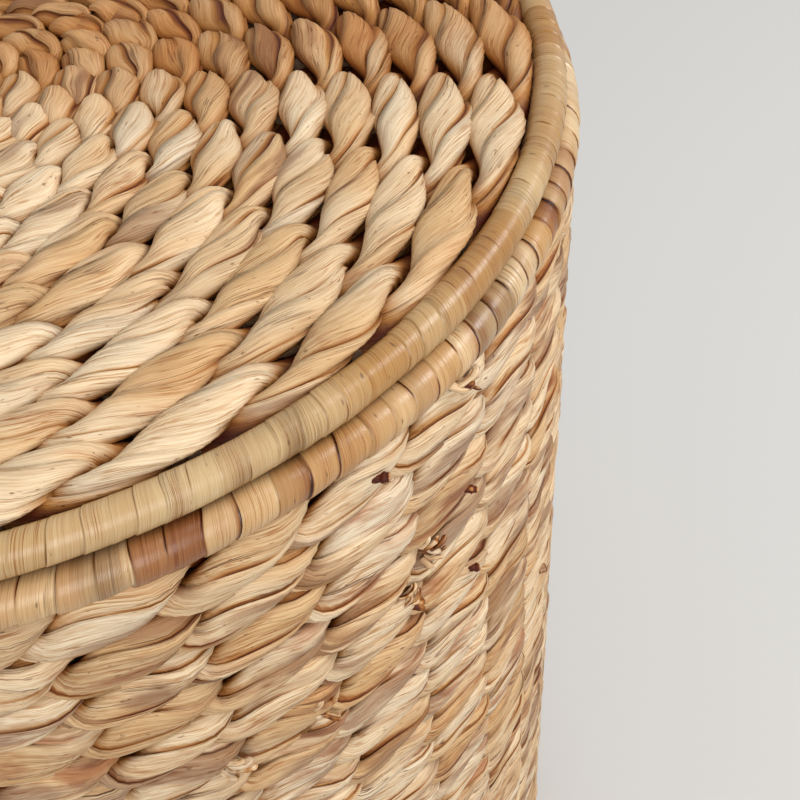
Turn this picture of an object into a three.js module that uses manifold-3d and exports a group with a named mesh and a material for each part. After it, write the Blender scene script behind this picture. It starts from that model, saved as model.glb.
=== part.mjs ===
// Round woven laundry basket with a flat lift-off lid, in millimetres, +Z up.
// The origin is on the floor, under the middle of the basket.
import * as THREE from 'three';
import { mergeVertices } from 'three/addons/utils/BufferGeometryUtils.js';
import Module from 'manifold-3d';

const wasm = await Module();
wasm.setup();

// Driving dimensions

const OVERALL_HEIGHT = 600; // floor to the top of the lid's weave
const LID_HOOP_RADIUS = 195; // centre line of the hoop round the lid
const RIM_OVERHANG = 4; // how far the rim hoop's centre line lies outside the lid hoop's
const WALL_STEP = 5; // how far the bumps of the weave pass the rim hoop's centre line
const WALL_FLARE = 2; // how much further out the weave is at the base than at the rim
const WALL_THICKNESS = 15; // bump to bump, through a stake
const LID_THICKNESS = 15;
const BASE_THICKNESS = 14;
const BASE_LIFT = 2; // underside of the base weave above the floor
const ROW_GROOVE = 3; // depth of the groove between two rows of weave
const WALL_ROW_PITCH = 18.5;
const LID_ROW_PITCH = 15.2;
const STAKE_DIAMETER = 4;
const HOOP_WIRE_DIAMETER = 6;
const LID_BINDING_DIAMETER = 12;
const RIM_BINDING_DIAMETER = 13.5;
const BASE_BINDING_DIAMETER = 13;
const FOOT_FLAT_DEPTH = 0.5; // how far the base binding is worn flat where it stands
const LID_HUB_RADIUS = 30; // disc that the lid's spokes are welded to
const BASE_HUB_RADIUS = 30;
const WALL_STAKES = 36;
const LID_SPOKES = 24;
const BASE_SPOKES = 24;

// Clearances

const SEAT_GAP = 0.3; // between pieces that rest on each other
const BORE_GAP = 0.35; // round a wire inside its weave or its binding, on the radius

// Facets

const SECTORS = 36; // round the basket
const BINDING_SIDES = 12; // vertices every 30 degrees, so that one meets the hoop it rests on
const WIRE_SIDES = 6;
const FACET = Math.cos(Math.PI / SECTORS); // a flat's distance from the axis over its corner's

// Sizes worked out from those

const wireRadius = HOOP_WIRE_DIAMETER / 2;
const stakeRadius = STAKE_DIAMETER / 2;
const lidBindingRadius = LID_BINDING_DIAMETER / 2;
const rimBindingRadius = RIM_BINDING_DIAMETER / 2;
const baseBindingRadius = BASE_BINDING_DIAMETER / 2;

const rimHoopRadius = LID_HOOP_RADIUS + RIM_OVERHANG;
const wallTopRadius = rimHoopRadius + WALL_STEP;
const wallBottomRadius = wallTopRadius + WALL_FLARE;
const baseHoopRadius = wallBottomRadius - WALL_THICKNESS / 2;

const lidLevel = OVERALL_HEIGHT - LID_THICKNESS / 2;
const lidSeat = lidBindingRadius + rimBindingRadius + SEAT_GAP;
const rimLevel = lidLevel - Math.sqrt(lidSeat ** 2 - RIM_OVERHANG ** 2);
const baseLevel = baseBindingRadius - FOOT_FLAT_DEPTH;

const wallTop = rimLevel - rimBindingRadius - SEAT_GAP;
const wallBottom = baseLevel + baseBindingRadius + SEAT_GAP;
const wallInnerBottom = wallBottomRadius - WALL_THICKNESS;
const stakeTopRadius = wallTopRadius - WALL_THICKNESS / 2;
const stakeBottomRadius = wallBottomRadius - WALL_THICKNESS / 2;

const lidWeaveRadius = LID_HOOP_RADIUS - lidBindingRadius - SEAT_GAP;
const baseWeaveRadius = wallInnerBottom - SEAT_GAP;
const baseSpokeLevel = BASE_LIFT + BASE_THICKNESS / 2;

// Materials

const weaveLook = { color: 0xc9a87c, roughness: 0.75, metalness: 0 };
const bindingLook = { color: 0xd2b184, roughness: 0.55, metalness: 0 };
const wireLook = { color: 0x5a5550, roughness: 0.5, metalness: 0.9 };

// Solids

function closedGeometry(geometry) {
  geometry.deleteAttribute('normal');
  geometry.deleteAttribute('uv');
  const merged = mergeVertices(geometry);
  const corners = [];
  const index = merged.index.array;
  for (let i = 0; i < index.length; i += 3) {
    const [a, b, c] = [index[i], index[i + 1], index[i + 2]];
    if (a !== b && b !== c && c !== a) corners.push(a, b, c);
  }
  merged.setIndex(corners);
  return merged;
}

function toSolid(geometry) {
  const closed = closedGeometry(geometry);
  const vertProperties = new Float32Array(closed.attributes.position.array);
  const triVerts = new Uint32Array(closed.index.array);
  return new wasm.Manifold(new wasm.Mesh({ numProp: 3, vertProperties, triVerts }));
}

function toGeometry(solid) {
  const { vertProperties, triVerts } = solid.getMesh();
  const geometry = new THREE.BufferGeometry();
  geometry.setAttribute('position', new THREE.BufferAttribute(vertProperties, 3));
  geometry.setIndex(new THREE.BufferAttribute(triVerts, 1));
  geometry.computeVertexNormals();
  return geometry;
}

// A profile is a list of [radius, height], anticlockwise with the axis on its left.
function turned(profile) {
  const points = profile.map(([radius, height]) => new THREE.Vector2(radius, height));
  return new THREE.LatheGeometry(points, SECTORS).rotateX(Math.PI / 2);
}

function turnedRing(radius, level, sectionRadius, sides) {
  const profile = [];
  for (let i = 0; i <= sides; i++) {
    const turn = (2 * Math.PI * i) / sides;
    profile.push([radius + sectionRadius * Math.cos(turn), level + sectionRadius * Math.sin(turn)]);
  }
  return turned(profile);
}

// A wire along +X that starts at the given radius.
function wireAlongX(start, end, radius) {
  const wire = new THREE.CylinderGeometry(radius, radius, end - start, WIRE_SIDES);
  return wire.rotateZ(Math.PI / 2).translate((start + end) / 2, 0, 0);
}

function slab(width, depth, height, x, y, z) {
  return toSolid(new THREE.BoxGeometry(width, depth, height).translate(x, y, z));
}

// The binding wound on a hoop, in two lengths that meet at splices on the X = 0 plane.
function bindingHalf(radius, level, sectionRadius, side) {
  const outside = toSolid(turnedRing(radius, level, sectionRadius, BINDING_SIDES));
  const wireSpace = toSolid(turnedRing(radius, level, wireRadius + BORE_GAP, WIRE_SIDES));
  const reach = radius + 2 * sectionRadius;
  const middle = side * (reach / 2 + SEAT_GAP / 2);
  const half = slab(reach, 2 * reach, 4 * sectionRadius, middle, 0, level);
  return outside.subtract(wireSpace).intersect(half);
}

// Spokes welded to a disc in the middle; grow makes room for them inside a weave.
function spokes(count, hubRadius, end, level, grow) {
  const height = STAKE_DIAMETER + 2 * grow;
  const hub = new THREE.CylinderGeometry(hubRadius + grow, hubRadius + grow, height, SECTORS);
  let frame = toSolid(hub.rotateX(Math.PI / 2).translate(0, 0, level));
  const weldDepth = hubRadius / 3;
  for (let i = 0; i < count; i++) {
    const spoke = wireAlongX(hubRadius - weldDepth, end, stakeRadius + grow);
    spoke.rotateZ((2 * Math.PI * i) / count).translate(0, 0, level);
    frame = frame.add(toSolid(spoke));
  }
  return frame;
}

function wallWeave() {
  const height = wallTop - wallBottom;
  const rows = Math.round(height / WALL_ROW_PITCH);
  const pitch = height / rows;
  const outerAt = (z) => {
    const share = (z - wallBottom) / height;
    return wallBottomRadius - share * WALL_FLARE;
  };
  const profile = [[outerAt(wallBottom) - WALL_THICKNESS, wallBottom]];
  for (let row = 0; row < rows; row++) {
    const groove = wallBottom + row * pitch;
    const bump = groove + pitch / 2;
    profile.push([outerAt(groove) - ROW_GROOVE, groove]);
    profile.push([outerAt(bump), bump]);
  }
  profile.push([outerAt(wallTop) - ROW_GROOVE, wallTop]);
  profile.push([outerAt(wallTop) - WALL_THICKNESS, wallTop]);
  profile.push(profile[0]);
  let wall = toSolid(turned(profile));
  const lean = stakeLean();
  for (let i = 0; i < WALL_STAKES; i++) {
    const bore = wireAlongX(-WALL_THICKNESS, lean.length + WALL_THICKNESS, stakeRadius + BORE_GAP);
    bore.rotateY(-Math.PI / 2 - lean.angle).translate(stakeBottomRadius, 0, wallBottom);
    wall = wall.subtract(toSolid(bore.rotateZ((2 * Math.PI * i) / WALL_STAKES)));
  }
  return wall;
}

// A stake stands on the base binding and leans in until it meets the rim binding from below.
function stakeLean() {
  const reach = rimHoopRadius - stakeTopRadius - stakeRadius;
  const clear = rimBindingRadius + SEAT_GAP;
  const drop = Math.sqrt(Math.max(clear ** 2 - reach ** 2, 0));
  const rise = rimLevel - drop - wallBottom;
  const inward = stakeBottomRadius - stakeTopRadius;
  return { angle: Math.atan2(inward, rise), length: Math.hypot(rise, inward) };
}

function lidWeave() {
  const top = lidLevel + LID_THICKNESS / 2;
  const bottom = lidLevel - LID_THICKNESS / 2;
  const rows = Math.round((lidWeaveRadius - LID_HUB_RADIUS) / LID_ROW_PITCH);
  const pitch = (lidWeaveRadius - LID_HUB_RADIUS) / rows;
  const profile = [[0, bottom], [lidWeaveRadius - ROW_GROOVE, bottom]];
  profile.push([lidWeaveRadius, bottom + ROW_GROOVE]);
  for (let row = 0; row < rows; row++) {
    const groove = lidWeaveRadius - row * pitch;
    profile.push([groove, top - ROW_GROOVE]);
    profile.push([groove - pitch / 2, top]);
  }
  profile.push([LID_HUB_RADIUS, top - ROW_GROOVE], [0, top - ROW_GROOVE]);
  const room = spokes(LID_SPOKES, LID_HUB_RADIUS, LID_HOOP_RADIUS, lidLevel, BORE_GAP);
  return toSolid(turned(profile)).subtract(room);
}

function baseWeave() {
  const top = BASE_LIFT + BASE_THICKNESS;
  const profile = [[0, BASE_LIFT], [baseWeaveRadius - ROW_GROOVE, BASE_LIFT]];
  profile.push([baseWeaveRadius, BASE_LIFT + ROW_GROOVE], [baseWeaveRadius, top], [0, top]);
  const room = spokes(BASE_SPOKES, BASE_HUB_RADIUS, baseHoopRadius, baseSpokeLevel, BORE_GAP);
  return toSolid(turned(profile)).subtract(room);
}

// Assembly

const basket = new THREE.Group();

function addPiece(name, geometry, look) {
  const piece = new THREE.Mesh(geometry, new THREE.MeshStandardMaterial(look));
  piece.name = name;
  basket.add(piece);
  return piece;
}

function addHoop(name, radius, level, sectionRadius, footPlane) {
  addPiece(`${name}_hoop`, turnedRing(radius, level, wireRadius, WIRE_SIDES), wireLook);
  for (const [number, side] of [[1, -1], [2, 1]]) {
    let binding = bindingHalf(radius, level, sectionRadius, side);
    if (footPlane !== undefined) {
      const reach = 4 * radius;
      const below = slab(reach, reach, radius, 0, 0, footPlane - radius / 2);
      binding = binding.subtract(below);
    }
    addPiece(`${name}_binding_${number}`, toGeometry(binding), bindingLook);
  }
}

addHoop('base', baseHoopRadius, baseLevel, baseBindingRadius, 0);
addHoop('rim', rimHoopRadius, rimLevel, rimBindingRadius);
addHoop('lid', LID_HOOP_RADIUS, lidLevel, lidBindingRadius);

const baseSpokeEnd = (baseHoopRadius - baseBindingRadius) * FACET - SEAT_GAP;
const baseFrame = spokes(BASE_SPOKES, BASE_HUB_RADIUS, baseSpokeEnd, baseSpokeLevel, 0);
addPiece('base_spokes', toGeometry(baseFrame), wireLook);
addPiece('base_weave', toGeometry(baseWeave()), weaveLook);

addPiece('wall_weave', toGeometry(wallWeave()), weaveLook);
const lean = stakeLean();
for (let i = 0; i < WALL_STAKES; i++) {
  const stake = wireAlongX(0, lean.length, stakeRadius);
  stake.rotateY(-Math.PI / 2 - lean.angle).translate(stakeBottomRadius, 0, wallBottom);
  const number = String(i + 1).padStart(2, '0');
  addPiece(`wall_stake_${number}`, stake, wireLook).rotation.z = (2 * Math.PI * i) / WALL_STAKES;
}

const lidSpokeEnd = (LID_HOOP_RADIUS - lidBindingRadius) * FACET - SEAT_GAP;
const lidFrame = spokes(LID_SPOKES, LID_HUB_RADIUS, lidSpokeEnd, lidLevel, 0);
addPiece('lid_spokes', toGeometry(lidFrame), wireLook);
addPiece('lid_weave', toGeometry(lidWeave()), weaveLook);

export default basket;
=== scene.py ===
"""Round laundry basket twined from water hyacinth, with bound hoops and a flat lift-off lid."""
import math

import bpy
import numpy as np
from mathutils import Matrix, Vector


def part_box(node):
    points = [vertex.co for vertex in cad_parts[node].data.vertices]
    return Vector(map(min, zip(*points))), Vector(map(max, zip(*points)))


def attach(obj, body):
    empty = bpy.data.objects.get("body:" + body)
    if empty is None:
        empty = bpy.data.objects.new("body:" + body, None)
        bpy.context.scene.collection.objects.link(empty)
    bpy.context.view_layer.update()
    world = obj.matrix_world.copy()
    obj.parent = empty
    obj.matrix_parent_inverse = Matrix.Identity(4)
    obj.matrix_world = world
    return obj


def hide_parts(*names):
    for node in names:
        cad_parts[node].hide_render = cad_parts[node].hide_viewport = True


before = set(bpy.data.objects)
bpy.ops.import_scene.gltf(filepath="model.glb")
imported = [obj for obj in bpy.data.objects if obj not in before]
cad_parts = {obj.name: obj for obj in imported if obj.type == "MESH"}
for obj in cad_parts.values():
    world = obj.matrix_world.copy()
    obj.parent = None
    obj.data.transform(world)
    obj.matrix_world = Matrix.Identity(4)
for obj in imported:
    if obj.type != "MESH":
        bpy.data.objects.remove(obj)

MM = 0.001  # metres in a millimetre
FULL_TURN = 2 * math.pi


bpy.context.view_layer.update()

# Sizes read from the frame, in millimetres


def box_mm(node):
    """The low and the high corner of a node's box."""
    low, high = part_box(node)
    return np.array(low) / MM, np.array(high) / MM


WALL_STAKES = sum(name.startswith("wall_stake_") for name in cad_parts)

wall_low, wall_high = box_mm("wall_weave")
stake_low, stake_high = box_mm("wall_stake_01")  # it stands on the +X side and leans inwards
lid_top = box_mm("lid_weave")[1][2]

# Counts and sizes of the weave, in millimetres

LID_SPOKES = 24
BASE_SPOKES = 24
STAKE_RADIUS = 2.0
circle_at_foot = stake_high[0] - STAKE_RADIUS  # radius of the round that the stakes stand on
circle_at_rim = stake_low[0] + STAKE_RADIUS
WALL_ROW_PITCH = 18.5
DISC_ROW_PITCH = 15.2  # on the lid and the base
ALL_SPOKES_RADIUS = 44.0  # a row further in passes round every second spoke
HALF_SPOKES_RADIUS = 22.0  # a row further in passes round MIDDLE_SPOKES
MIDDLE_SPOKES = 6
WIDE_ROW_RADIUS = 90.0  # a row further out has its spokes wide apart

STRAND_STEPS = 14  # rings of mesh from one stake to the next
WIDE_ROW_STEPS = 20  # the same where they are wide apart
STRAND_GIRTH = 42.0  # how wide it is laid out flat
STRAND_TWIST = 0.013  # turns in a millimetre
GRAIN_RADIUS = 6.0  # of the stem that a strand's grain is drawn on
LEAVES = 3  # leaves twisted together into a strand
LEAF_SIDES = 7  # columns of mesh in each
LEAF_COLUMNS = np.append(np.linspace(0, 0.93, LEAF_SIDES - 1), 0.985)  # shares of a leaf's width
LEAF_FOOT = 0.75  # from this share on, the next leaf shades it

# Looks

LEAF_IOR = 1.45
PAINT_IOR = 1.5


def srgb(colour):
    """A hex colour as the linear colour with alpha that a socket takes, by the sRGB curve."""
    values = [int(colour[i : i + 2], 16) / 255 for i in (1, 3, 5)]
    return [v / 12.92 if v <= 0.04045 else ((v + 0.055) / 1.055) ** 2.4 for v in values] + [1.0]


def add(tree, kind, inputs=(), **settings):
    """Adds a node with its settings, and sets or links its inputs."""
    made = tree.nodes.new(kind)
    for key, value in settings.items():
        setattr(made, key, value)
    for key, value in dict(inputs).items():
        if isinstance(value, bpy.types.NodeSocket):
            tree.links.new(value, made.inputs[key])
        else:
            made.inputs[key].default_value = value
    return made


def new_material(name):
    """An empty material and its tree of nodes."""
    material = bpy.data.materials.new(name)
    material.use_nodes = True
    tree = material.node_tree
    tree.nodes.clear()
    return material, tree


def finish_material(tree, colour, roughness, height, depth, ior, shine=0.5):
    """The surface itself: a bump of the given depth in millimetres under one dielectric coat."""
    bump = add(tree, "ShaderNodeBump", {"Height": height, "Distance": depth * MM, "Strength": 1.0})
    coat = {
        "Base Color": colour,
        "Roughness": roughness,
        "Normal": bump.outputs["Normal"],
        "IOR": ior,
        "Specular IOR Level": shine,
    }
    surface = add(tree, "ShaderNodeBsdfPrincipled", coat)
    add(tree, "ShaderNodeOutputMaterial", {"Surface": surface.outputs["BSDF"]})


def mottle(tree, along, across, shift, edge=(), most=1.0, detail=2.0, roughness=0.5, distortion=0.0):
    """A cloudy pattern drawn out on a strand: `along` mm of its length by `across` mm round it.

    The shift picks another part of the pattern. With an edge, the pattern fades in up to `most`
    where it runs from the edge's first value to the second."""
    strand = add(tree, "ShaderNodeAttribute", attribute_name="strand")
    stretch = {
        "Vector": strand.outputs["Vector"],
        "Location": (shift, shift, shift),
        "Scale": (1 / along, 1 / across, 1 / across),
    }
    noise = {
        "Vector": add(tree, "ShaderNodeMapping", stretch).outputs["Vector"],
        "Scale": 1,
        "Detail": detail,
        "Roughness": roughness,
        "Distortion": distortion,
    }
    clouds = add(tree, "ShaderNodeTexNoise", noise).outputs["Fac"]
    if not edge:
        return clouds
    fade = {"Value": clouds, "From Min": edge[0], "From Max": edge[1], "To Max": most}
    return add(tree, "ShaderNodeMapRange", fade, interpolation_type="SMOOTHSTEP").outputs["Result"]


def thin_lines(tree, along, across, shift, width, share):
    """Fine lines, where a drawn out pattern crosses its middle, as strong as the share says."""
    clouds = mottle(tree, along, across, shift)
    from_middle = add(tree, "ShaderNodeMath", {0: clouds, 1: 0.5}, operation="SUBTRACT")
    distance = add(tree, "ShaderNodeMath", {0: from_middle.outputs[0]}, operation="ABSOLUTE")
    fade = {"Value": distance.outputs[0], "From Min": 0.15 * width, "From Max": width}
    fade |= {"To Min": 1.0, "To Max": 0.0}
    lines = add(tree, "ShaderNodeMapRange", fade, interpolation_type="SMOOTHSTEP")
    shared = {0: lines.outputs["Result"], 1: share}
    return add(tree, "ShaderNodeMath", shared, operation="MULTIPLY").outputs[0]


def stain(tree, colour, blend, layers):
    """Lays stains over a colour one after another. Each is where it lies and what it is."""
    for mask, tint in layers:
        mixed = {"Fac": mask, "Color1": colour, "Color2": srgb(tint)}
        colour = add(tree, "ShaderNodeMixRGB", mixed, blend_type=blend).outputs["Color"]
    return colour


def plant_colour(tree, palette, blotches):
    """Dried leaf: pale and golden lengths, with rust and grey-violet blotches."""
    tones = mottle(tree, along=70, across=18, shift=0, detail=3, roughness=0.6)
    ramp = add(tree, "ShaderNodeValToRGB", {"Fac": tones})
    stops = ramp.color_ramp.elements
    stops[0].position = 0.32
    stops[0].color = srgb(palette["dark"])
    stops[1].position = 0.68
    stops[1].color = srgb(palette["pale"])
    stops.new(0.48).color = srgb(palette["middle"])

    # Each length of leaf worked in has its own tone
    lengths = mottle(tree, along=120, across=60, shift=19, edge=(0.58, 0.36), detail=1)
    # The more blotches, the lower in the clouds they start
    start = 0.68 - 0.3 * blotches
    rust_edge = (start, start + 0.14)
    violet_edge = (start - 0.04, start + 0.08)
    ragged = {"roughness": 0.6, "distortion": 0.3}
    rust = mottle(tree, along=38, across=9, shift=31, edge=rust_edge, most=0.7, detail=4, **ragged)
    violet = mottle(tree, along=60, across=14, shift=77, edge=violet_edge, most=0.75, detail=3, **ragged)
    stains = [(lengths, palette["tone"]), (rust, palette["rust"]), (violet, palette["violet"])]
    return stain(tree, ramp.outputs["Color"], "MULTIPLY", stains)


def painted_shade_and_tone(tree, colour, palette):
    """Painted shade, tan and then brown, where strands dive between their neighbours, along each leaf's
    edge and in other hollows, with the real browner tone of some pieces.
    """
    lit_and_pale = add(tree, "ShaderNodeAttribute", attribute_name="lit_and_pale").outputs["Fac"]
    layers = []
    # Tints of painted shade, which also carry some pieces' real browner tone: tan, then deep brown
    for start, stop, tint in ((0.68, 0.25, "tan"), (0.42, 0.04, "deep")):
        fade = {"Value": lit_and_pale, "From Min": start, "From Max": stop}
        shown = add(tree, "ShaderNodeMapRange", fade, interpolation_type="SMOOTHSTEP")
        layers.append((shown.outputs["Result"], palette[tint]))
    return stain(tree, colour, "MULTIPLY", layers)


def plant_fibre(name, palette, blotches, roughness, shine, depth, line_gap, fibrous=1.0):
    """A dried plant strand whose fibres run along it, `line_gap` mm apart.

    blotches and fibrous say how much it has of each."""
    material, tree = new_material(name)
    colour = plant_colour(tree, palette, blotches)

    streaks = mottle(tree, along=34, across=0.7 * line_gap, shift=0, detail=3, roughness=0.7)
    fine = mottle(tree, along=9, across=0.4 * line_gap, shift=23, detail=2, roughness=0.7)
    patches = mottle(tree, along=14, across=5, shift=41, edge=(0.38, 0.62), most=0.9)
    fibres = thin_lines(tree, along=30, across=line_gap, shift=3, width=0.04, share=patches)
    tints = [(fibres, palette["streak"])]
    for lines, most in ((streaks, 0.16), (fine, 0.42)):
        fade = {"Value": lines, "From Min": 0.60, "From Max": 0.36, "To Max": most * fibrous}
        shown = add(tree, "ShaderNodeMapRange", fade, interpolation_type="SMOOTHSTEP")
        tints.append((shown.outputs["Result"], palette["streak"]))
    colour = stain(tree, colour, "MULTIPLY", tints)

    # Splits between fibres are thin and dark, and come in groups, as the pores do
    groups = mottle(tree, along=30, across=6, shift=55, edge=(0.50, 0.68), most=0.6 * fibrous, detail=1)
    splits = thin_lines(tree, along=44, across=2.2 * line_gap, shift=12, width=0.02, share=groups)
    pores = mottle(tree, along=2.6, across=0.7, shift=65, edge=(0.70, 0.78), most=0.7, detail=1)
    colour = stain(tree, colour, "MIX", [(splits, palette["split"]), (pores, palette["split"])])
    # Painted shade in the weave's hollows, from the mesh's attribute of how pale and lit each point is
    colour = painted_shade_and_tone(tree, colour, palette)

    relief = mottle(tree, along=40, across=4 * line_gap, shift=8)
    for lines, height in ((streaks, 0.26), (fine, 0.14), (fibres, -0.12), (splits, -0.50)):
        raised = {0: lines, 1: height, 2: relief}
        relief = add(tree, "ShaderNodeMath", raised, operation="MULTIPLY_ADD").outputs[0]
    worn = {"Value": streaks, "From Min": 0.3, "From Max": 0.7}
    worn |= {"To Min": roughness + 0.12, "To Max": roughness - 0.08}
    gloss = add(tree, "ShaderNodeMapRange", worn, interpolation_type="SMOOTHSTEP")
    finish_material(tree, colour, gloss.outputs["Result"], relief, depth, LEAF_IOR, shine)
    return material


def water_hyacinth(name, blotches, line_gap, fibrous, **tones):
    """Water hyacinth stem, sun dried and twisted: satin and spongy, with ribs and splits along it."""
    palette = {
        "tone": "#E9D6BC",
        "rust": "#B87B52",
        "violet": "#AC9084",
        "streak": "#CDAA85",
        "split": "#6A4228",
        # tan and deep are the tints of painted shade in the hollows
        "tan": "#CFA162",
        "deep": "#85512E",
    }
    surface = {"roughness": 0.54, "shine": 0.28, "depth": 0.5}
    return plant_fibre(name, palette | tones, blotches, line_gap=line_gap, fibrous=fibrous, **surface)


def leaf_strip(name, blotches, **tones):
    """Flat strip cut from the leaf and wound tight: smoother than the strands, with a low gloss."""
    palette = {
        "tone": "#E0C49C",
        "rust": "#B87F50",
        "violet": "#B3A79C",
        "streak": "#CBA677",
        "split": "#54382A",
        # tan and deep are painted shade at the seams, and the browner turns' own tone
        "tan": "#B98F60",
        "deep": "#5A3620",
    }
    surface = {"roughness": 0.30, "shine": 0.5, "depth": 0.16}
    return plant_fibre(name, palette | tones, blotches, line_gap=0.24, **surface)


def iron_wire():
    """Iron wire dipped in thin brown paint: dark, slightly uneven, with a dull gloss."""
    material, tree = new_material("iron wire, brown paint")
    position = add(tree, "ShaderNodeTexCoord").outputs["Object"]
    cloud_size = 6 * MM
    noise = {"Vector": position, "Scale": 1 / cloud_size, "Detail": 3}
    clouds = add(tree, "ShaderNodeTexNoise", noise).outputs["Fac"]
    tones = {"Fac": clouds, "Color1": srgb("#5B4636"), "Color2": srgb("#7A5F48")}
    colour = add(tree, "ShaderNodeMixRGB", tones)
    gloss = add(tree, "ShaderNodeMapRange", {"Value": clouds, "To Min": 0.45, "To Max": 0.65})
    painted = {"colour": colour.outputs["Color"], "roughness": gloss.outputs["Result"]}
    finish_material(tree, **painted, height=clouds, depth=0.1, ior=PAINT_IOR)
    return material


# Meshes

FLAT_INSET = 0.04  # share of a strip of the flat map that stays empty along each side


class Strands:
    """Tubes gathered into one mesh, with their grain and a map of flat strips."""

    def __init__(self):
        self.points, self.corners, self.grains, self.tubes, self.lit_and_pale = [], [], [], [], []
        self.count = 0

    def add_tube(self, rings, grain_at, length, lit_and_pale, shift=0):
        """rings is (rings, columns, 3) in mm and closes both ways, the columns `shift` rings on.

        grain_at gives the grain at a ring and a column, for a face in another column."""
        steps, sides = rings.shape[:2]
        i, j = np.meshgrid(np.arange(steps), np.arange(sides), indexing="ij")
        around = [(i, j), (i, j + 1), (i + 1, j + 1), (i + 1, j)]
        index = [self.count + (a + shift * (b // sides)) % steps * sides + b % sides for a, b in around]
        self.corners.append(np.stack(index, -1).reshape(-1))
        self.grains.append(np.stack([grain_at(a, b, j) for a, b in around], 2).reshape(-1, 3))
        self.tubes.append((steps, sides, length))
        self.points.append(rings.reshape(-1, 3))
        self.lit_and_pale.append(np.broadcast_to(lit_and_pale, (steps, sides)).reshape(-1))
        self.count += steps * sides

    def strip_map(self, girth):
        """Lays every tube out flat in strips of one length, stacked in the unit square."""
        total = sum(length for _, _, length in self.tubes)
        strips_in_all = max(1, round(math.sqrt(total / girth)))
        counts = [max(1, round(strips_in_all * length / total)) for _, _, length in self.tubes]
        rows = sum(counts)
        row = 0
        flat = []
        for (steps, sides, _), strips in zip(self.tubes, counts):
            rings_each = math.ceil(steps / strips)
            i, j = np.meshgrid(np.arange(steps), np.arange(sides), indexing="ij")
            ring = []
            for di, dj in ((0, 0), (0, 1), (1, 1), (1, 0)):
                along = (i % rings_each + di) / rings_each
                across = FLAT_INSET + (1 - 2 * FLAT_INSET) * (j + dj) / sides
                ring.append(np.stack([along, (row + i // rings_each + across) / rows], -1))
            flat.append(np.stack(ring, 2).reshape(-1, 2))
            row += strips
        return np.concatenate(flat)

    def make(self, name, girth=STRAND_GIRTH):
        """The object, with the attributes that its material reads and a map to bake it into."""
        mesh = bpy.data.meshes.new(name)
        points = np.concatenate(self.points) * MM
        corners = np.concatenate(self.corners)
        mesh.vertices.add(len(points))
        mesh.vertices.foreach_set("co", points.astype(np.float32).reshape(-1))
        mesh.loops.add(len(corners))
        mesh.loops.foreach_set("vertex_index", corners.astype(np.int32))
        faces = len(corners) // 4
        mesh.polygons.add(faces)
        mesh.polygons.foreach_set("loop_start", np.arange(0, 4 * faces, 4, dtype=np.int32))
        mesh.update(calc_edges=True)
        strand = mesh.attributes.new("strand", "FLOAT_VECTOR", "CORNER")
        strand.data.foreach_set("vector", np.concatenate(self.grains).astype(np.float32).reshape(-1))
        # How pale and lit each point is: painted shade where it is low, and partly the piece's real tone
        lit_and_pale = mesh.attributes.new("lit_and_pale", "FLOAT", "POINT")
        lit_and_pale.data.foreach_set("value", np.concatenate(self.lit_and_pale).astype(np.float32))
        flat = mesh.uv_layers.new(name="OFBake")
        flat.data.foreach_set("uv", self.strip_map(girth).astype(np.float32).reshape(-1))
        mesh.shade_smooth()
        piece = bpy.data.objects.new(name, mesh)
        bpy.context.scene.collection.objects.link(piece)
        return piece


def place_piece(piece, material, body, slot, *nodes):
    """Gives a piece its material, the body that it rides and the nodes it replaces; slot is not used."""
    piece.data.materials.append(material)
    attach(piece, body)
    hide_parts(*nodes)


def wander(random, knots, steps, size):
    """A smooth closed random line: a value at each of `steps` places, about `size` at most."""
    values = random.uniform(-size, size, knots)
    at = np.arange(steps) * knots / steps
    low = np.floor(at).astype(int)
    share = 0.5 - 0.5 * np.cos(math.pi * (at - low))
    return values[low % knots] * (1 - share) + values[(low + 1) % knots] * share


def unit(vectors):
    """The same directions with a length of 1."""
    return vectors / np.linalg.norm(vectors, axis=-1, keepdims=True)


def sweep(centre, out, half_width, half_height, angle, reach):
    """Rings round a closed line: half_width lies in the weave's surface, half_height out of it."""
    along = unit(np.roll(centre, -1, 0) - np.roll(centre, 1, 0))
    across = unit(np.cross(out, along))
    normal = np.cross(along, across)
    wide = (half_width[:, None] * reach * np.cos(angle))[..., None] * across[:, None, :]
    high = (half_height[:, None] * reach * np.sin(angle))[..., None] * normal[:, None, :]
    return centre[:, None, :] + wide + high


def running_length(step_lengths):
    """How far along a line each of its points lies, from 0 to its whole length."""
    return np.concatenate([[0.0], np.cumsum(step_lengths)])


# Strands of twisted leaves

EDGE_SCATTER = 0.22  # how far an edge can start from its even place, in leaf widths
EDGE_WANDER = 0.35  # how far it wanders along the strand, in radians
LEAF_STEP = (0.12, 0.28)  # how far a leaf's foot lies below its top, as a share of its reach
LEAF_STEP_WANDER = 0.1  # how far that wanders along the strand
LEAF_FALL = 1.5  # how late across a leaf it falls to its foot, where 1 is evenly
LEAF_BULGE = 0.07  # the most that a leaf's middle stands out, as a share of its reach
FOOT_SHADE = 0.6  # how much painted shade falls on a leaf's foot, and how far that wanders
FOOT_SHADE_MOST = 0.95
TWIST_WANDER = 0.3  # how far the strand's turning wanders, in radians
SHIFT_MOST = 9000  # in mm: how far along its pattern a strand or an end of leaf can start
LEAF_SHIFT_MOST = 60  # the same for one leaf beside its neighbours


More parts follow.
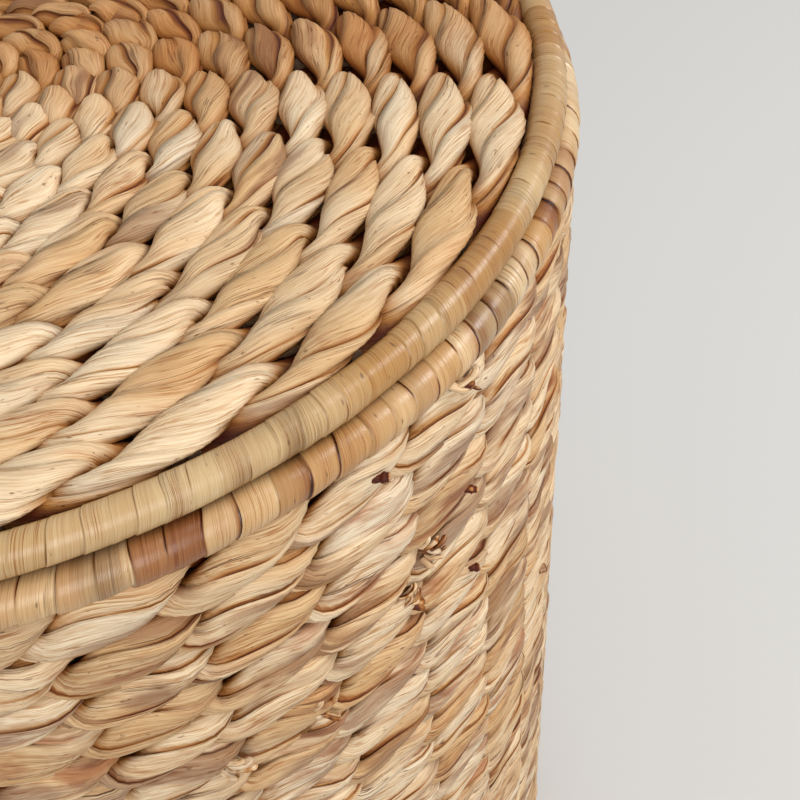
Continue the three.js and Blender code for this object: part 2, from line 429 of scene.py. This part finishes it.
def twisted_leaves(random, steps, stakes, twist):
    """The leaves of a strand: the angle and the reach of every column, and the painted shade on each
    leaf's foot.

    A leaf's first column stands proud of the last column of the leaf before it."""
    edges = []
    for leaf in range(LEAVES):
        even = FULL_TURN * (leaf + random.uniform(-EDGE_SCATTER, EDGE_SCATTER)) / LEAVES
        edges.append(even + wander(random, stakes, steps, EDGE_WANDER))
    edges.append(edges[0] + FULL_TURN)
    share = LEAF_COLUMNS
    foot_share = np.maximum(share - LEAF_FOOT, 0) / (share[-1] - LEAF_FOOT)
    angle, reach, foot = [], [], []
    for leaf in range(LEAVES):
        start, stop = edges[leaf][:, None], edges[leaf + 1][:, None]
        step = random.uniform(*LEAF_STEP) + wander(random, 2 * stakes, steps, LEAF_STEP_WANDER)
        angle.append(start + (stop - start) * share)
        bulge = random.uniform(0.0, LEAF_BULGE) * np.sin(math.pi * share)
        reach.append(1 + bulge - np.maximum(step, 0.0)[:, None] * share**LEAF_FALL)
        # Painted shade on the leaf's foot, which the next leaf laps
        dark = FOOT_SHADE + wander(random, 2 * stakes, steps, FOOT_SHADE)
        foot.append(1 - np.clip(dark, 0.0, FOOT_SHADE_MOST)[:, None] * foot_share)
    turning = twist * FULL_TURN * np.arange(steps) / steps
    turning += wander(random, stakes, steps, TWIST_WANDER)
    angle = np.concatenate(angle, 1) + turning[:, None]
    return angle, np.concatenate(reach, 1), np.concatenate(foot, 1)


def leaf_grain(length_at, random):
    """Grain along a strand's leaves, each of which shows another stretch of its own leaf."""
    shifts = random.uniform(0, SHIFT_MOST) + random.uniform(0, LEAF_SHIFT_MOST, LEAVES)
    sides = LEAVES * LEAF_SIDES

    def grain_at(ring, side, face):
        angle = FULL_TURN * side / sides
        along = shifts[face // LEAF_SIDES] + length_at[ring]
        return np.stack([along, GRAIN_RADIUS * np.cos(angle), GRAIN_RADIUS * np.sin(angle)], -1)

    return grain_at


def evenly_lit(points):
    """A piece with no side in painted shade."""
    return np.ones(len(points))


FAR_SIDE = 62.0  # direction of the lid's side in painted shade, in degrees from +X
FAR_START = -115.0  # where its painted shade starts, in mm from the lid's middle towards that side
FAR_WIDTH = 130.0  # how much further on it is full, in mm
FAR_SHADE = 0.60  # how much of its paleness a strand loses there to painted shade


def far_side_shade(points):
    """Painted shade: the side of the lid that lies away from the camera is painted darker."""
    heading = math.radians(FAR_SIDE)
    away = points[:, 0] * math.cos(heading) + points[:, 1] * math.sin(heading)
    share = np.clip((away - FAR_START) / FAR_WIDTH, 0, 1)
    return 1 - FAR_SHADE * share * share * (3 - 2 * share)


# Twined rows

# Widths and rises are shares of a row's pitch, and heights of half the weave's thickness
SWAP_SHARPNESS = 1.8  # how suddenly a strand changes sides
LOW_START = 0.2  # how much lower it lies early in a bump than late
STAY_OUT = 0.15  # how much longer it stays in front than behind
FLAT_SHARPNESS = 1.7  # how short a stretch of it lies flattest
FLAT_LAG = 0.12  # how far its flattening lags behind its swap, in radians
SQUEEZED_WIDTH, FLAT_WIDTH = 0.26, 0.30  # half the width as it swaps, and what lying flat adds
SQUEEZED_HEIGHT, FLAT_HEIGHT = 0.72, 0.26  # half the height as it swaps, and what lying flat takes
OUTWARD = 0.54  # how far its middle lies in front or behind
RISE = 0.32  # how far its middle rises and falls along a bump
SLANT = 0.95  # how straight it rises: 1 is a zigzag
SLANT_LAG = 0.1  # how far its rise lags behind its swap, in radians
WIDTH_VARIES, HEIGHT_VARIES = 0.10, 0.06  # as shares of themselves
OUTWARD_VARIES, RISE_VARIES = 0.25, 0.7  # in mm
TWIST_VARIES = (0.6, 1.2)  # as shares of STRAND_TWIST


def twine(strands, random, place, stakes, pitch, half_thickness, steps_each, loose, tone=evenly_lit):
    """One row: two strands that swap sides between stakes, each front bump rising as it runs on.

    place(turn, lateral, outward) gives points and the outward direction, in mm."""
    steps = stakes * steps_each
    turn = np.arange(steps) / steps_each
    for strand in (0, 1):
        phase = math.pi * (turn - strand)
        # A strand slips out early and low beside its neighbour, stays on top and dives at the end
        swing = np.cos(phase) + LOW_START * np.sin(2 * phase) + STAY_OUT
        over = np.tanh(SWAP_SHARPNESS * swing) / math.tanh(SWAP_SHARPNESS)
        # It flattens where it lies in front or behind, and is squeezed upright as it changes sides
        flat = np.abs(np.cos(phase - FLAT_LAG)) ** FLAT_SHARPNESS
        half_width = pitch * (SQUEEZED_WIDTH + FLAT_WIDTH * flat)
        half_width *= 1 + wander(random, stakes, steps, WIDTH_VARIES * loose)
        half_height = half_thickness * (SQUEEZED_HEIGHT - FLAT_HEIGHT * flat)
        half_height *= 1 + wander(random, stakes, steps, HEIGHT_VARIES * loose)
        outward = OUTWARD * half_thickness * over
        outward += wander(random, 2 * stakes, steps, OUTWARD_VARIES * loose)
        slant = np.arcsin(SLANT * np.sin(phase - SLANT_LAG)) / math.asin(SLANT)
        lateral = RISE * pitch * slant + wander(random, stakes, steps, RISE_VARIES * loose)
        centre, out = place(turn, lateral, outward)
        length_at = running_length(np.linalg.norm(np.roll(centre, -1, 0) - centre, axis=1))
        twist = round(STRAND_TWIST * random.uniform(*TWIST_VARIES) * length_at[-1])
        angle, reach, foot = twisted_leaves(random, steps, stakes, twist)
        rings = sweep(centre, out, half_width, half_height, angle, reach)
        # Painted shade: darker where the strand dives towards the weave's middle, on each leaf's foot,
        # and on any side that tone shades
        height = outward[:, None] + half_height[:, None] * reach * np.sin(angle)
        lit_and_pale = np.minimum(np.abs(height) / half_thickness, foot) * tone(centre)[:, None]
        strands.add_tube(rings, leaf_grain(length_at, random), float(length_at[-1]), lit_and_pale)


def wall_place(level, stakes):
    """Places on the wall, whose stakes lean inwards a little towards the rim."""
    share = (level - stake_low[2]) / (stake_high[2] - stake_low[2])
    stake_circle = circle_at_foot + share * (circle_at_rim - circle_at_foot)

    def place(turn, lateral, outward):
        angle = FULL_TURN * turn / stakes
        out = np.stack([np.cos(angle), np.sin(angle), np.zeros_like(angle)], -1)
        points = out * (stake_circle + outward)[:, None]
        points[:, 2] = level + lateral
        return points, out

    return place


def upward(points):
    """The direction out of a disc at each point."""
    out = np.zeros_like(points)
    out[:, 2] = 1.0
    return out


def disc_place(radius, level, stakes):
    """Places on a flat disc, where lateral runs towards the middle."""

    def place(turn, lateral, outward):
        angle = FULL_TURN * turn / stakes
        reach = radius - lateral
        points = np.stack([reach * np.cos(angle), reach * np.sin(angle), level + outward], -1)
        return points, upward(points)

    return place


WALL_SEED = 1000
WALL_LOOSENESS, DISC_LOOSENESS = 1.5, 1.0  # how unevenly the rows lie


def build_wall(material):
    """Rows of twined strands, from the base's hoop up to the rim's."""
    height = wall_high[2] - wall_low[2]
    rows = round(height / WALL_ROW_PITCH)
    pitch = height / rows
    half_thickness = wall_high[0] - circle_at_foot
    for row in range(rows):
        random = np.random.default_rng(WALL_SEED + row)
        strands = Strands()
        place = wall_place(wall_low[2] + (row + 0.5) * pitch, WALL_STAKES)
        twine(strands, random, place, WALL_STAKES, pitch, half_thickness, STRAND_STEPS, WALL_LOOSENESS)
        piece = strands.make(f"wall_row_{row + 1:02d}")
        place_piece(piece, material, "basket", "woven_hyacinth", "wall_weave")


KNOT_ROUNDS = ((6.5, 4.2, 0.30), (2.6, 3.2, 0.45))  # radius and half width in mm, and lift
KNOT_STEPS = 60  # rings of mesh in a round
KNOT_BUMPS = 5  # a round is uneven in this many places
KNOT_LEVEL_VARIES, KNOT_RADIUS_VARIES = 0.3, 0.5  # in mm
KNOT_TWIST = 2  # turns in a round
KNOT_SHADE = 0.45  # painted shade over the whole knot: how pale and lit its leaves are, where 1 is a row's palest
KNOT_SEED = 90  # added to its disc's


def build_knot(prefix, body, level, half_thickness, material, seed):
    """The first few turns of the round, drawn tight into a knot over the hub.

    Each round is made on both faces, its lift a share of half the weave's thickness."""
    random = np.random.default_rng(seed)
    around = FULL_TURN * np.arange(KNOT_STEPS) / KNOT_STEPS
    strands = Strands()
    for radius, half_width, lift in KNOT_ROUNDS:
        for face in (1, -1):
            rise = wander(random, KNOT_BUMPS, KNOT_STEPS, KNOT_LEVEL_VARIES)
            height = level + face * half_thickness * lift + rise
            reach = radius + wander(random, KNOT_BUMPS, KNOT_STEPS, KNOT_RADIUS_VARIES)
            centre = np.stack([reach * np.cos(around), reach * np.sin(around), height], -1)
            leaves = twisted_leaves(random, KNOT_STEPS, KNOT_BUMPS, KNOT_TWIST)
            angle, leaf_reach, foot = leaves
            wide = np.full(KNOT_STEPS, half_width)
            high = np.full(KNOT_STEPS, half_thickness * (1 - lift))
            rings = sweep(centre, upward(centre), wide, high, angle, leaf_reach)
            length_at = np.arange(KNOT_STEPS + 1) * FULL_TURN * radius / KNOT_STEPS
            grain_at = leaf_grain(length_at, random)
            # Painted shade on each leaf's foot and over the whole knot
            strands.add_tube(rings, grain_at, float(length_at[-1]), foot * KNOT_SHADE)
    piece = strands.make(f"{prefix}_knot")
    place_piece(piece, material, body, "woven_hyacinth", f"{prefix}_weave")


def spokes_at(radius, spokes):
    """How many spokes a row passes round: fewer near the middle, where they crowd together."""
    if radius > ALL_SPOKES_RADIUS:
        return spokes
    if radius > HALF_SPOKES_RADIUS:
        return spokes // 2
    return MIDDLE_SPOKES


def build_disc(prefix, body, spokes, material, seed, tone=evenly_lit):
    """A flat round of rows, from its edge to the knot in the middle."""
    low, high = box_mm(f"{prefix}_weave")
    level = (low[2] + high[2]) / 2
    half_thickness = (high[2] - low[2]) / 2
    build_knot(prefix, body, level, half_thickness, material, seed + KNOT_SEED)
    for row in range(math.floor(high[0] / DISC_ROW_PITCH)):
        random = np.random.default_rng(seed + row)
        radius = high[0] - (row + 0.5) * DISC_ROW_PITCH
        stakes = spokes_at(radius, spokes)
        place = disc_place(radius, level, stakes)
        steps = WIDE_ROW_STEPS if radius > WIDE_ROW_RADIUS else STRAND_STEPS
        strands = Strands()
        twine(strands, random, place, stakes, DISC_ROW_PITCH, half_thickness, steps, DISC_LOOSENESS, tone)
        piece = strands.make(f"{prefix}_row_{row + 1:02d}")
        place_piece(piece, material, body, "woven_hyacinth", f"{prefix}_weave")


# Camera, placed as the photograph was taken

CAMERA_AZIMUTH = -96.0  # where it stands, in degrees from +X
CAMERA_REACH = 372.9  # from the basket's axis, in mm
CAMERA_RISE = 223.7  # above the middle of the lid's hoop, in mm
CAMERA_SWING = 21.57  # it looks this far to the right of the axis, in degrees
CAMERA_DIP = 49.26  # it looks this far below level, in degrees
CAMERA_ROLL = -5.09  # it is tilted this far about where it looks, in degrees
CAMERA_FIELD = 37.04  # its field of view, in degrees
CAMERA_NEAREST = 0.02  # it sees nothing nearer, in metres
PHOTO_SIZE = 800  # pixels a side


def camera_turn():
    """The camera's right, up and back directions, as the columns of a matrix."""
    heading = math.radians(CAMERA_AZIMUTH + 180 - CAMERA_SWING)
    dip, roll = math.radians(CAMERA_DIP), math.radians(CAMERA_ROLL)
    level_ahead = Vector((math.cos(heading), math.sin(heading), 0))
    ahead = level_ahead * math.cos(dip) - Vector((0, 0, math.sin(dip)))
    right = Vector((math.sin(heading), -math.cos(heading), 0))
    up = right.cross(ahead)
    tilted_right = right * math.cos(roll) + up * math.sin(roll)
    tilted_up = up * math.cos(roll) - right * math.sin(roll)
    return Matrix((tilted_right, tilted_up, -ahead)).transposed()


def camera_place():
    """Where the camera stands, in mm."""
    stand = math.radians(CAMERA_AZIMUTH)
    hoop_low, hoop_high = box_mm("lid_hoop")
    level = (hoop_low[2] + hoop_high[2]) / 2 + CAMERA_RISE
    return Vector((math.cos(stand) * CAMERA_REACH, math.sin(stand) * CAMERA_REACH, level))


def add_camera():
    """The photograph's camera, which the render uses too."""
    lens = bpy.data.cameras.new("camera")
    lens.angle = math.radians(CAMERA_FIELD)
    lens.clip_start = CAMERA_NEAREST
    camera = bpy.data.objects.new("camera", lens)
    camera.matrix_world = Matrix.Translation(camera_place() * MM) @ camera_turn().to_4x4()
    bpy.context.scene.collection.objects.link(camera)
    bpy.context.scene.camera = camera


def seen_on_wall(pixel_x, pixel_y):
    """The direction round the basket and the level of the wall point under a photograph's pixel."""
    half_field = math.tan(math.radians(CAMERA_FIELD) / 2)
    x, y = 2 * pixel_x / PHOTO_SIZE - 1, 1 - 2 * pixel_y / PHOTO_SIZE
    ray = camera_turn() @ Vector((half_field * x, half_field * y, -1))
    start = camera_place()
    # The nearer root of a t^2 + 2 b t + c = 0, where the ray meets the wall's cylinder
    a = ray.x**2 + ray.y**2
    b = start.x * ray.x + start.y * ray.y
    c = start.x**2 + start.y**2 - wall_high[0] ** 2
    point = start + ray * (-b - math.sqrt(b * b - a * c)) / a
    return math.atan2(point.y, point.x), point.z


# Cut ends of leaf

STUB_ENDS = [(381, 484), (471, 493), (474, 572), (544, 572)]  # pixels of the photograph
CURLED_ENDS = [(430, 558), (414, 608), (320, 718), (230, 776), (462, 394)]
FLAKES = 7  # of torn leaf in each curled end
CURL_SPREAD = 7  # pixels to each side
BACK_ENDS = 26  # on the parts of the wall that the photograph doesn't show
BACK_OF_WALL = (math.radians(-20), math.radians(220))  # the directions in which these lie
CLEAR_OF_HOOPS = 20  # how far from the wall's top and bottom they stay, in mm
STUB_LENGTH, STUB_HALF_WIDTH, STUB_CURL = 5.0, 1.7, 0.4  # mm, mm and radians
FLAKE_LENGTH, FLAKE_HALF_WIDTH, FLAKE_CURL = (6, 10), (0.7, 1.5), (1.6, 3.4)
BACK_LENGTH, BACK_HALF_WIDTH, BACK_CURL = (5, 9), 2.2, (0.3, 2.2)
CUT_ENDS_GIRTH = 16.0  # how wide one is laid out flat, in mm

END_STEPS, END_SIDES = 20, 18  # rings and columns of mesh
END_ROOT = 4.0  # how deep in the wall an end starts, in mm
END_FLATNESS = 0.7  # its height as a share of its width
END_OUT, END_ALONG = 0.9, 0.5  # it runs out of the wall and along it by these shares
STUB_LEAN, FLAKE_LEAN = (-0.9, 0.3), (-1.5, 1.1)  # how it slants on the wall, in radians
BENDS = [0.8, 1.2]  # its curl is weaker or stronger by one of these
TIP_LENGTH = 0.2  # the share of its length that rounds off to a tip
TIP_LEAST = 0.03  # the square of the tip's width, as a share of the end's
END_FOLDS = 0.36  # how deep its folds are, as a share of its half width
FOLD_COLUMNS = 3  # columns in a fold
FOLD_CHANGES, FOLD_DEPTH_VARIES = 6, 0.8  # how often its folds deepen along it, and how much
SWELLINGS = 7  # how often it swells along it
FOLD_LIGHT_AND_SHADE = 1.2  # painted light and shade: how much paler the tops of its folds are, and darker their hollows
CUT_START, CUT_BARED = 0.85, 0.7  # a stub is dark up to its cut, which is paler
FLAKE_BARED = (0.2, 0.75)  # how bare a flake lies, from dark to pale
INNER_SHARE = 0.02  # thickness of the tube's inside as a share of its outside
ENDS_SEED = 77


def crumpled(random, steps, columns, size):
    """Folds along a tube, as a share of its radius: deep or shallow as they run on."""
    folds = wander(random, columns // FOLD_COLUMNS, columns, size)
    depth = 1 + wander(random, FOLD_CHANGES, steps, FOLD_DEPTH_VARIES)
    swelling = wander(random, SWELLINGS, steps, size / 2)
    return 1 + folds[None, :] * depth[:, None] + swelling[:, None]


def add_end(strands, random, angle, level, length, half_width, curl):
    """A cut end of leaf that stands out of the wall, in mm, bent over by its curl, in radians.

    A curl below 1 makes a dark stub with a pale cut, and a curl above it makes a torn flake."""
    is_stub = curl < 1
    share = np.linspace(0, 1, END_STEPS)
    out = np.array([math.cos(angle), math.sin(angle), 0])
    side = np.array([-math.sin(angle), math.cos(angle), 0])
    up = np.array([0.0, 0.0, 1.0])
    lean = random.uniform(*(STUB_LEAN if is_stub else FLAKE_LEAN))
    bend = curl * share * random.choice(BENDS)
    run = np.cumsum(np.cos(bend)) * length / END_STEPS
    drop = np.cumsum(np.sin(bend)) * length / END_STEPS
    slope = side * math.cos(lean) + up * math.sin(lean)
    root = out * (wall_high[0] - END_ROOT) + up * level
    centre = root + out * (END_OUT * run)[:, None] + slope * (END_ALONG * run + drop)[:, None]
    along = unit(np.gradient(centre, axis=0))
    across = unit(np.cross(up, along))
    normal = np.cross(along, across)
    around = FULL_TURN * np.arange(END_SIDES) / END_SIDES
    into_tip = np.clip(share - (1 - TIP_LENGTH), 0, 1) / TIP_LENGTH
    taper = np.sqrt(np.clip(1 - into_tip**4, TIP_LEAST, 1))
    folds = crumpled(random, END_STEPS, END_SIDES, END_FOLDS)
    reach = half_width * folds * taper[:, None]
    wide = (reach * np.cos(around))[..., None] * across[:, None, :]
    high = (END_FLATNESS * reach * np.sin(around))[..., None] * normal[:, None, :]
    # The tube runs back inside itself, so it closes as a ring of rings
    outer = centre[:, None, :] + wide + high
    inner = centre[::-1, None, :] + INNER_SHARE * (wide + high)[::-1]
    length_at = running_length(np.full(2 * END_STEPS, length / END_STEPS))
    if is_stub:
        bare = np.where(share > CUT_START, CUT_BARED, 0.0)
    else:
        bare = np.full(END_STEPS, random.uniform(*FLAKE_BARED))
    # Painted light on the tops of its folds and painted shade in their hollows
    lit_and_pale = np.clip(bare[:, None] + FOLD_LIGHT_AND_SHADE * (folds - 1), 0, 1)
    lit_and_pale = np.concatenate([lit_and_pale, np.zeros((END_STEPS, END_SIDES))])
    shift = random.uniform(0, SHIFT_MOST)

    def grain_at(ring, column, face):
        turned = FULL_TURN * column / END_SIDES
        on_stem = half_width * np.cos(turned), half_width * np.sin(turned)
        return np.stack([shift + length_at[ring], *on_stem], -1)

    strands.add_tube(np.concatenate([outer, inner]), grain_at, float(length_at[-1]), lit_and_pale)


def add_cut_ends(material):
    """Short stubs and curled ends of leaf, where a new length was worked into the wall."""
    random = np.random.default_rng(ENDS_SEED)
    ends = Strands()
    for pixel_x, pixel_y in STUB_ENDS:
        angle, level = seen_on_wall(pixel_x, pixel_y)
        add_end(ends, random, angle, level, STUB_LENGTH, STUB_HALF_WIDTH, STUB_CURL)
    for pixel_x, pixel_y in CURLED_ENDS:
        for _ in range(FLAKES):
            near = random.uniform(-CURL_SPREAD, CURL_SPREAD, 2)
            angle, level = seen_on_wall(pixel_x + near[0], pixel_y + near[1])
            size = [random.uniform(*span) for span in (FLAKE_LENGTH, FLAKE_HALF_WIDTH, FLAKE_CURL)]
            add_end(ends, random, angle, level, *size)
    for _ in range(BACK_ENDS):
        angle = random.uniform(*BACK_OF_WALL)
        level = random.uniform(wall_low[2] + CLEAR_OF_HOOPS, wall_high[2] - CLEAR_OF_HOOPS)
        length, curl = random.uniform(*BACK_LENGTH), random.uniform(*BACK_CURL)
        add_end(ends, random, angle, level, length, BACK_HALF_WIDTH, curl)
    piece = ends.make("wall_cut_ends", CUT_ENDS_GIRTH)
    place_piece(piece, material, "basket", "woven_hyacinth", "wall_weave")


# Bound hoops

BARK_TURNS = [(92, 580), (110, 574), (150, 553), (158, 549)]  # pixels of the photograph
BACK_BARK_TURNS = 9  # on the parts of the rim that it doesn't show
BACK_OF_RIM = (math.radians(-20), math.radians(230))  # the directions in which these lie
BARK_SEED = 5

TURN_STEPS = 20  # rings of mesh in a turn of the strip
TURN_COLUMNS = np.array([0.0, 0.05, 0.25, 0.45, 0.65, 0.80, 0.92, 0.985])  # shares of its width
TURN_DARKNESS = np.array([0.4, 0, 0, 0, 0, 0.05, 0.45, 1.0])  # at each column: the edges are darkened, partly as painted shade where the turns lap and partly as cracks
BINDING_INSET = 0.3  # how far the strip lies inside the outline of its solid, in mm
QUICK_WAVER, SLOW_WAVER = 0.07, 0.26  # of a turn's edge, as shares of the strip's width
LAP_VARIES, LUMPS = 0.9, 0.3  # share of the lap, and mm
DARK_VARIES = 1.2  # so that an edge is darkened only in places, by painted shade and cracks
STRIP_GRAIN = 0.4  # mm of pattern in a mm of strip: its fibres are drawn coarser, so that they show


def hoop_section(wire_node, sleeve):
    """Radius and level of a hoop's centre line, and the radius of its binding, in mm."""
    wire_low, wire_high = box_mm(wire_node)
    thickness = wire_high[2] - wire_low[2]
    wire_radius = thickness / math.sqrt(3)  # its section is a hexagon that lies on a flat
    radius = wire_high[0] - wire_radius
    return radius, (wire_low[2] + wire_high[2]) / 2, box_mm(sleeve)[1][0] - radius


def build_hoop(prefix, body, strip, bark, winding, seed, bark_places=()):
    """A flat strip wound round a hoop: each turn laps the last and leaves a raised, slanting edge.

    The winding says how wide the strip is, how far a turn laps and how far it swells in mm, the
    share of edges darkened as painted shade and cracks, and how brown a turn can be. bark_places are
    the directions round the basket where the strip still has its bark."""
    sleeves = [f"{prefix}_binding_1", f"{prefix}_binding_2"]
    radius, level, section = hoop_section(f"{prefix}_hoop", sleeves[1])
    floor_level = box_mm(sleeves[1])[0][2]
    random = np.random.default_rng(seed)
    turns = round(FULL_TURN * radius / winding["strip_width"])
    steps = turns * TURN_STEPS
    share = TURN_COLUMNS
    wound = (np.arange(steps) / TURN_STEPS)[:, None]
    # Each wander below changes a few times in a turn, or once in a few turns
    # The far edge of a turn wavers as the near edge of the next one does
    waver = wander(random, 5 * turns, steps, QUICK_WAVER)
    waver += wander(random, turns // 2, steps, SLOW_WAVER)
    waver_next = np.roll(waver, -TURN_STEPS)
    across = share + waver[:, None] * (1 - share) + waver_next[:, None] * share
    around = FULL_TURN * (wound + across) / turns
    angle = FULL_TURN * (wound + 0.5)
    lap, swell = winding["lap"], winding["swell"]
    lapping = np.maximum(lap * (1 + wander(random, 3 * turns, steps, LAP_VARIES)), 0.0)[:, None]
    uneven = wander(random, 2 * turns, steps, 0.5 * lap)[:, None]
    # A turn sinks towards its far edge, over which the next one laps, and swells in its middle
    shape = 4 * swell * share * (1 - share) - swell - lapping * share
    lumps = wander(random, turns // 3, steps, LUMPS)[:, None]
    reach = section - BINDING_INSET + shape + np.minimum(uneven, 0) + lumps
    out = np.stack([np.cos(around), np.sin(around), 0 * around], -1)
    rings = (radius + reach * np.cos(angle))[..., None] * out
    rings[..., 2] = np.maximum(level + reach * np.sin(angle), floor_level)
    # Painted shade along the seams where one turn laps the next, with dark cracks in places
    edge_darkness = 2 * winding["dark_share"] - 1 + wander(random, 4 * turns, steps, DARK_VARIES)
    dark = np.clip(edge_darkness, 0, 1)[:, None]
    # Most turns are hardly browned, and a few are brown
    tones = 1 - winding["browning"] * random.random(turns) ** 2
    lit_and_pale = np.repeat(tones, TURN_STEPS)[:, None] * (1 - dark * TURN_DARKNESS)
    length_at = np.arange(steps + 1) * FULL_TURN * section / TURN_STEPS

    def grain_at(ring, column, face):
        """The strip's fibres run round the hoop, and its tone changes over a few turns."""
        column = np.minimum(column, len(share) - 1)
        strip_across = winding["strip_width"] * (ring // TURN_STEPS + share[column])
        return STRIP_GRAIN * np.stack([length_at[ring], strip_across, 0 * strip_across], -1)

    strands = Strands()
    strands.add_tube(rings, grain_at, float(length_at[-1]), lit_and_pale, shift=TURN_STEPS)
    piece = strands.make(f"{prefix}_bound_hoop", winding["strip_width"])
    place_piece(piece, strip, body, "leaf_binding", *sleeves)
    piece.data.materials.append(bark)
    # A turn starts and ends on the inner side, half a turn before its middle
    turn_of_face = np.repeat(np.arange(steps) // TURN_STEPS, len(share))
    bark_turns = [round(turns * heading / FULL_TURN) % turns for heading in bark_places]
    has_bark = np.isin(turn_of_face, bark_turns)
    piece.data.polygons.foreach_set("material_index", has_bark.astype(np.int32))


# The basket

pale_hyacinth = water_hyacinth(
    "water hyacinth, dried and twisted",
    blotches=0.24,
    line_gap=0.8,
    fibrous=1.0,
    pale="#D4C5AC",
    middle="#E1CDAD",
    dark="#DDBF96",
)
brown_hyacinth = water_hyacinth(
    "water hyacinth, browner lengths",
    blotches=0.45,
    line_gap=1.0,
    fibrous=1.4,
    pale="#DACBB2",
    middle="#E5D2B2",
    dark="#DDBD92",
)
lid_strip = leaf_strip("leaf strip, khaki", 0.12, pale="#CCB791", middle="#C2A97F", dark="#B3956D")
rim_strip = leaf_strip("leaf strip, golden", 0.44, pale="#E2D0AF", middle="#D2B88E", dark="#B48C60")
bark_strip = leaf_strip(
    "leaf strip, rust bark", 0.60, pale="#E2BE8E", middle="#BE8654", dark="#8A4C26", rust="#A4643A"
)
painted_wire = iron_wire()

build_wall(brown_hyacinth)
add_cut_ends(brown_hyacinth)
build_disc("lid", "lid", LID_SPOKES, pale_hyacinth, seed=2000, tone=far_side_shade)
build_disc("base", "basket", BASE_SPOKES, brown_hyacinth, seed=3000)

rim_bark = [seen_on_wall(*pixel)[0] for pixel in BARK_TURNS]
rim_bark += list(np.random.default_rng(BARK_SEED).uniform(*BACK_OF_RIM, BACK_BARK_TURNS))
lid_winding = {"strip_width": 7.0, "lap": 0.14, "swell": 0.0, "dark_share": 0.4, "browning": 0.35}
rim_winding = {"strip_width": 9.0, "lap": 0.45, "swell": 0.25, "dark_share": 0.8, "browning": 0.6}
build_hoop("lid", "lid", lid_strip, bark_strip, lid_winding, seed=41)
build_hoop("rim", "basket", rim_strip, bark_strip, rim_winding, seed=42, bark_places=rim_bark)
build_hoop("base", "basket", rim_strip, bark_strip, rim_winding, seed=43)

for name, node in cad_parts.items():
    if name.endswith(("_hoop", "_spokes")) or name.startswith("wall_stake_"):
        node.data.materials.clear()
        node.data.materials.append(painted_wire)

# Stage, in metres and watts

FLOOR_SIZE = 14.0
FADE_START, FADE_STOP = 0.5, 2.4  # from the basket's axis


def add_floor():
    """Pale paper that fades into the backdrop, so that no horizon shows."""
    half = FLOOR_SIZE / 2
    mesh = bpy.data.meshes.new("floor")
    corners = [(-half, -half, 0), (half, -half, 0), (half, half, 0), (-half, half, 0)]
    mesh.from_pydata(corners, [], [(0, 1, 2, 3)])
    floor = bpy.data.objects.new("floor", mesh)
    bpy.context.scene.collection.objects.link(floor)
    paper, tree = new_material("pale matt paper, which fades into the backdrop")
    position = add(tree, "ShaderNodeTexCoord").outputs["Object"]
    distance = add(tree, "ShaderNodeVectorMath", {0: position}, operation="LENGTH")
    fade = {"Value": distance.outputs["Value"], "From Min": FADE_START, "From Max": FADE_STOP}
    fade |= {"To Min": 1.0, "To Max": 0.0}
    kept = add(tree, "ShaderNodeMapRange", fade, interpolation_type="SMOOTHSTEP")
    sheet = {"Base Color": srgb("#CBCBCA"), "Roughness": 0.9, "Alpha": kept.outputs["Result"]}
    surface = add(tree, "ShaderNodeBsdfPrincipled", sheet)
    add(tree, "ShaderNodeOutputMaterial", {"Surface": surface.outputs["BSDF"]})
    mesh.materials.append(paper)


def add_world():
    """Even light from all round, and a backdrop that only the camera sees."""
    world = bpy.data.worlds.new("studio")
    bpy.context.scene.world = world
    world.use_nodes = True
    tree = world.node_tree
    tree.nodes.clear()
    light = add(tree, "ShaderNodeBackground", {"Color": srgb("#F4F2EE"), "Strength": 0.71})
    backdrop = add(tree, "ShaderNodeBackground", {"Color": srgb("#D9D8D4"), "Strength": 1.0})
    seen = add(tree, "ShaderNodeLightPath")
    parts = {0: seen.outputs["Is Camera Ray"], 1: light.outputs[0], 2: backdrop.outputs[0]}
    mixed = add(tree, "ShaderNodeMixShader", parts)
    add(tree, "ShaderNodeOutputWorld", {"Surface": mixed.outputs[0]})


def add_soft_box(name, stand, size, power):
    """A square soft light that faces the middle of the lid."""
    light = bpy.data.lights.new(name, "AREA")
    light.size = size
    light.energy = power
    lamp = bpy.data.objects.new(name, light)
    bpy.context.scene.collection.objects.link(lamp)
    lamp.location = stand
    aim = Vector((0, 0, lid_top * MM)) - Vector(stand)
    lamp.rotation_euler = aim.to_track_quat("-Z", "Y").to_euler()


add_floor()
add_world()
add_soft_box("window", stand=(1.6, -0.45, 1.9), size=0.8, power=27)
add_soft_box("fill", stand=(-0.3, -1.2, 1.3), size=0.8, power=10)
add_camera()
bpy.context.scene.view_settings.view_transform = "Standard"
